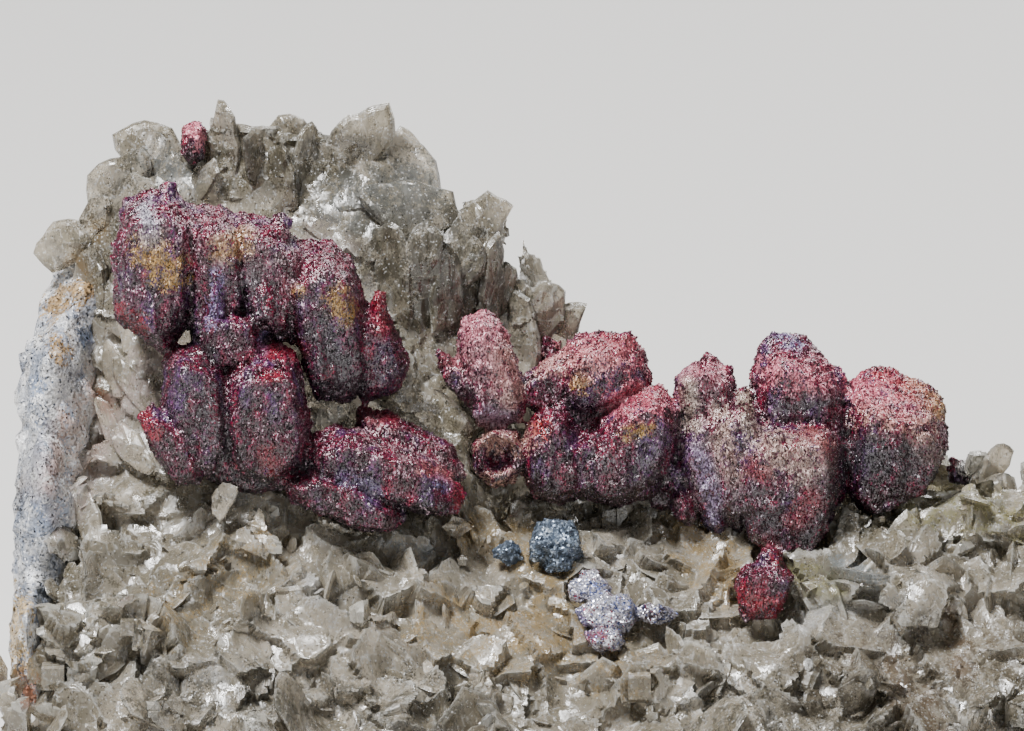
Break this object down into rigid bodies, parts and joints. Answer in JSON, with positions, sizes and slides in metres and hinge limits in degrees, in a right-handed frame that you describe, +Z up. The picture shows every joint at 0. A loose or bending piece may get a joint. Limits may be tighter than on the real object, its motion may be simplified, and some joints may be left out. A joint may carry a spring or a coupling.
{
  "type": "proustite specimen in calcite matrix",
  "caption": "Mineral specimen: clusters of stubby dark red proustite crystals on a crust of bladed grey-beige calcite, with wall rock cut flat below to stand on.",
  "frame": {"origin": "on the flat cut base, below the middle of the crystals", "axes": "+X to the right along the specimen's length, +Y away from its display front, +Z up; the base faces -Z"},
  "size_m": [0.0574, 0.0328, 0.0339],
  "materials": {
    "proustite": "glossy",
    "calcite": "glossy",
    "wall_rock": "rough",
    "grey_metal": "satin",
    "silvery_sulphide": "glossy"
  },
  "bodies": {
    "root": {"wall_rock": "wall_rock", "calcite_crust": "calcite", "proustite_left_cluster": "proustite", "proustite_right_cluster": "proustite", "proustite_top_crystal": "proustite", "proustite_back_crystal": "proustite", "proustite_crest_crystal": "proustite", "grey_nodule_large": "grey_metal", "grey_nodule_small": "grey_metal", "silvery_crust": "silvery_sulphide"}
  },
  "joints": []
}
